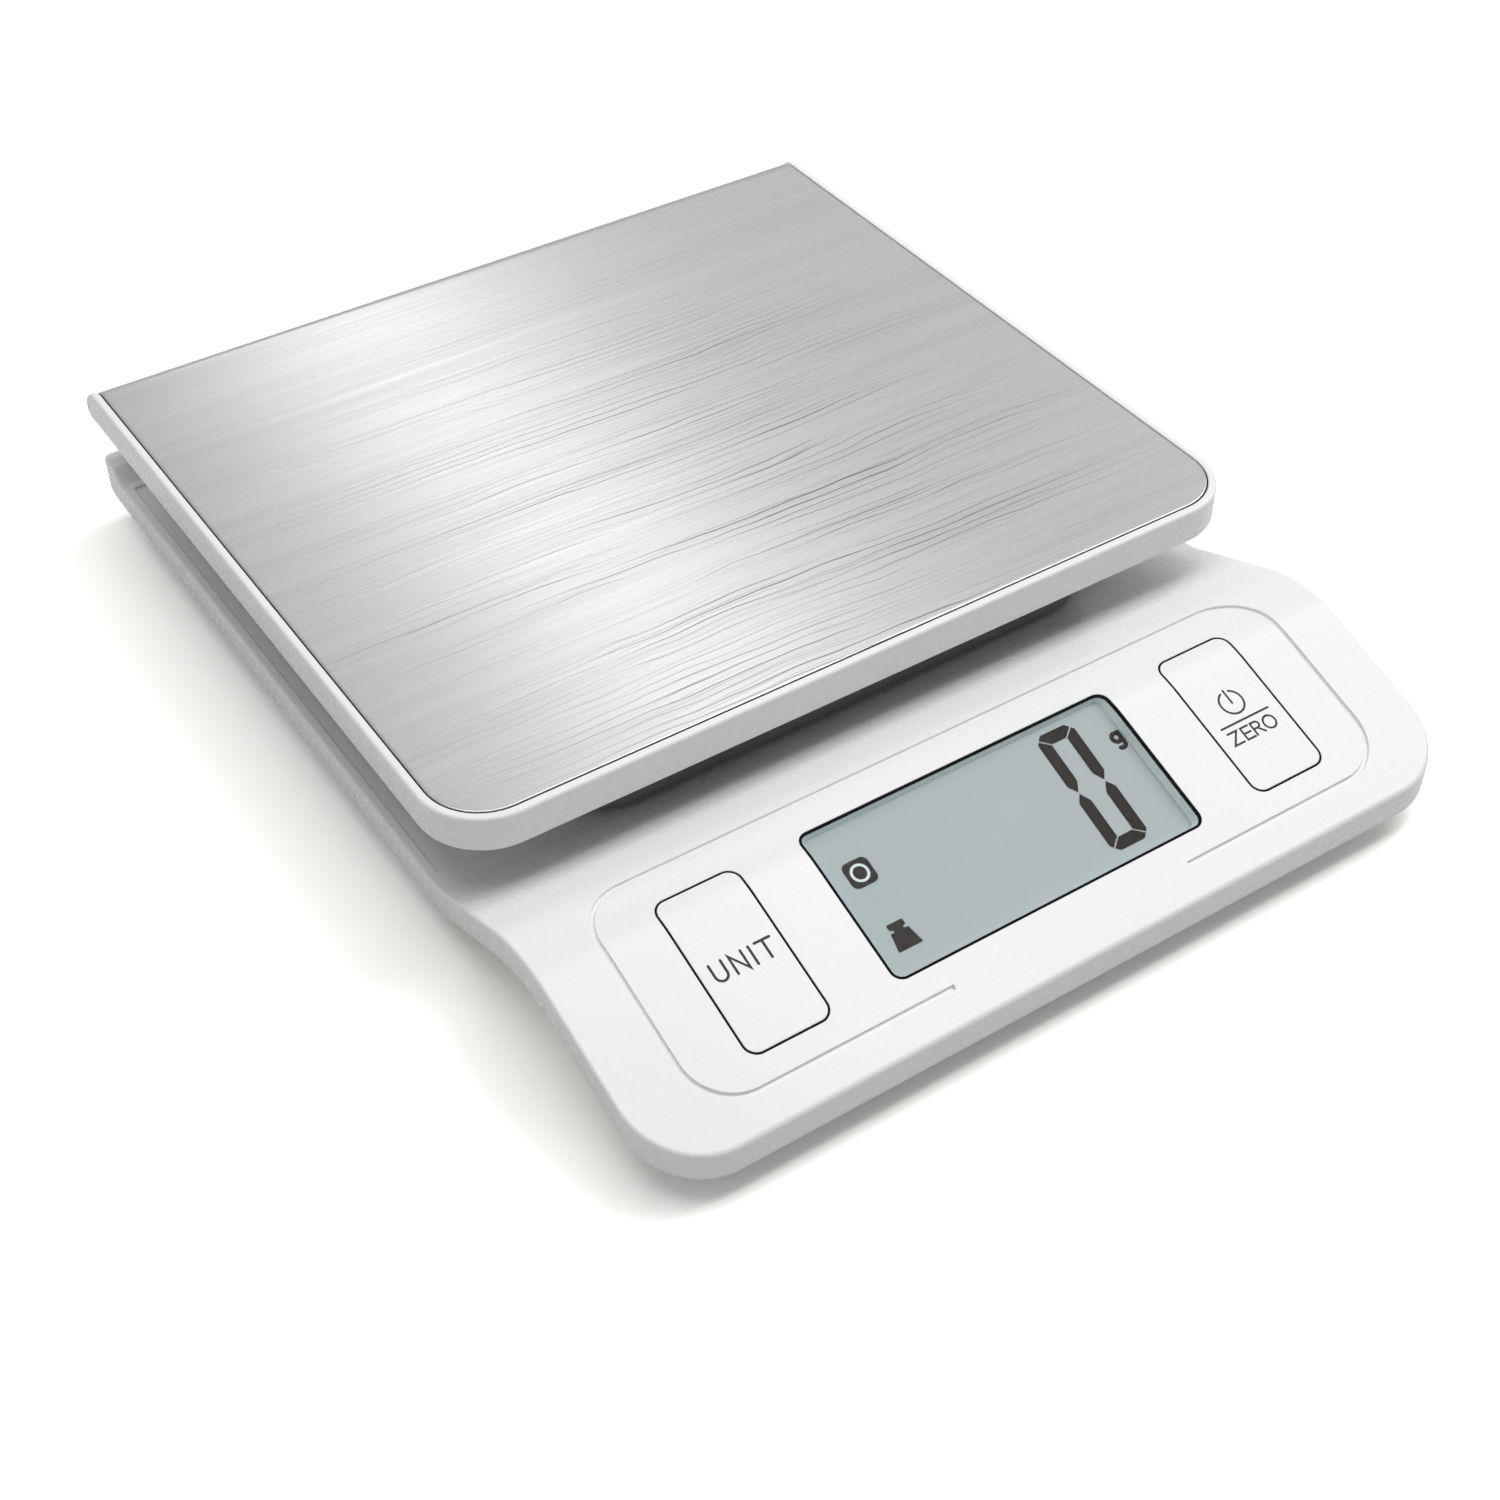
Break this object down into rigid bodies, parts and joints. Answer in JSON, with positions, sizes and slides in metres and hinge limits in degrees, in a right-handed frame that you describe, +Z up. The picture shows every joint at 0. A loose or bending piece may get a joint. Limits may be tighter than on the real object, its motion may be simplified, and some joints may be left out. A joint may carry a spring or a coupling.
{
  "type": "kitchen scale",
  "caption": "Flat digital kitchen scale: brushed steel weighing platform over a wave-shaped white base with a sloping panel, display and two push keys.",
  "frame": {"origin": "on the table under the middle of the bounding box", "axes": "+Z up, +Y from the control panel to the rear, +X to the right seen from the panel"},
  "size_m": [0.1944, 0.248, 0.038],
  "materials": {
    "white_plastic": "satin gloss",
    "case_plastic": "fine matt texture",
    "brushed_steel": "brushed across the width",
    "zinc_steel": "zinc plated",
    "aluminium": "machined",
    "rubber": "matt",
    "clear_lens": "clear and glossy",
    "lcd_glass": "grey reflective display",
    "black_plastic": "matt",
    "circuit_board": "solder mask",
    "spring_contact": "nickel plated",
    "cell_wrap": "printed wrap",
    "black_lead": "insulation",
    "red_lead": "insulation"
  },
  "bodies": {
    "base": {"base_top_shell": "white_plastic", "base_lower_case": "case_plastic", "foot_1": "rubber", "foot_2": "rubber", "foot_3": "rubber", "foot_4": "rubber", "case_screw_1": "zinc_steel", "case_screw_2": "zinc_steel", "case_screw_3": "zinc_steel", "case_screw_4": "zinc_steel", "case_screw_5": "zinc_steel", "case_screw_6": "zinc_steel", "lcd_lens": "clear_lens", "lcd_glass": "lcd_glass", "lcd_holder": "black_plastic", "zebra_strip": "rubber", "control_board": "circuit_board", "board_screw_1": "zinc_steel", "board_screw_2": "zinc_steel", "board_screw_3": "zinc_steel", "board_screw_4": "zinc_steel", "unit_switch": "black_plastic", "zero_switch": "black_plastic", "battery_1": "cell_wrap", "battery_2": "cell_wrap", "battery_contact_left": "spring_contact", "battery_contact_right": "spring_contact", "battery_lead_red": "red_lead", "battery_lead_black": "black_lead", "load_cell_lead": "red_lead", "load_cell": "aluminium", "load_cell_screw_1": "zinc_steel", "load_cell_screw_2": "zinc_steel", "overload_stop": "rubber"},
    "platform": {"platform_plate": "brushed_steel", "platform_frame": "white_plastic", "platform_under_cover": "case_plastic", "platform_skirt": "case_plastic", "platform_bracket": "zinc_steel", "load_post": "aluminium", "post_screw_lower_1": "zinc_steel", "post_screw_lower_2": "zinc_steel", "post_screw_upper_1": "zinc_steel", "post_screw_upper_2": "zinc_steel", "bracket_screw_1": "zinc_steel", "bracket_screw_2": "zinc_steel", "bracket_screw_3": "zinc_steel", "bracket_screw_4": "zinc_steel", "cover_screw_1": "zinc_steel", "cover_screw_2": "zinc_steel", "cover_screw_3": "zinc_steel", "cover_screw_4": "zinc_steel"},
    "unit_button": {"unit_key": "white_plastic", "unit_switch_button": "black_plastic"},
    "zero_button": {"zero_key": "white_plastic", "zero_switch_button": "black_plastic"},
    "battery_hatch": {"battery_door": "case_plastic"}
  },
  "joints": [
    {"name": "platform_press", "type": "slide", "parent": "base", "child": "platform", "axis": [0, 0, -1], "range_m": [0, 0.0005], "stiffness_N_per_m": 20000, "springref_m": -0.0004},
    {"name": "unit_key_press", "type": "slide", "parent": "base", "child": "unit_button", "axis": [0, 0.3043, -0.9526], "range_m": [0, 0.0006], "stiffness_N_per_m": 1500, "springref_m": -0.0001},
    {"name": "zero_key_press", "type": "slide", "parent": "base", "child": "zero_button", "axis": [0, 0.3043, -0.9526], "range_m": [0, 0.0006], "stiffness_N_per_m": 1500, "springref_m": -0.0001},
    {"name": "battery_door_hinge", "type": "hinge", "parent": "base", "child": "battery_hatch", "pos_m": [0, -0.0537, 0.002], "axis": [1, 0, 0], "range_deg": [0, 90]}
  ]
}
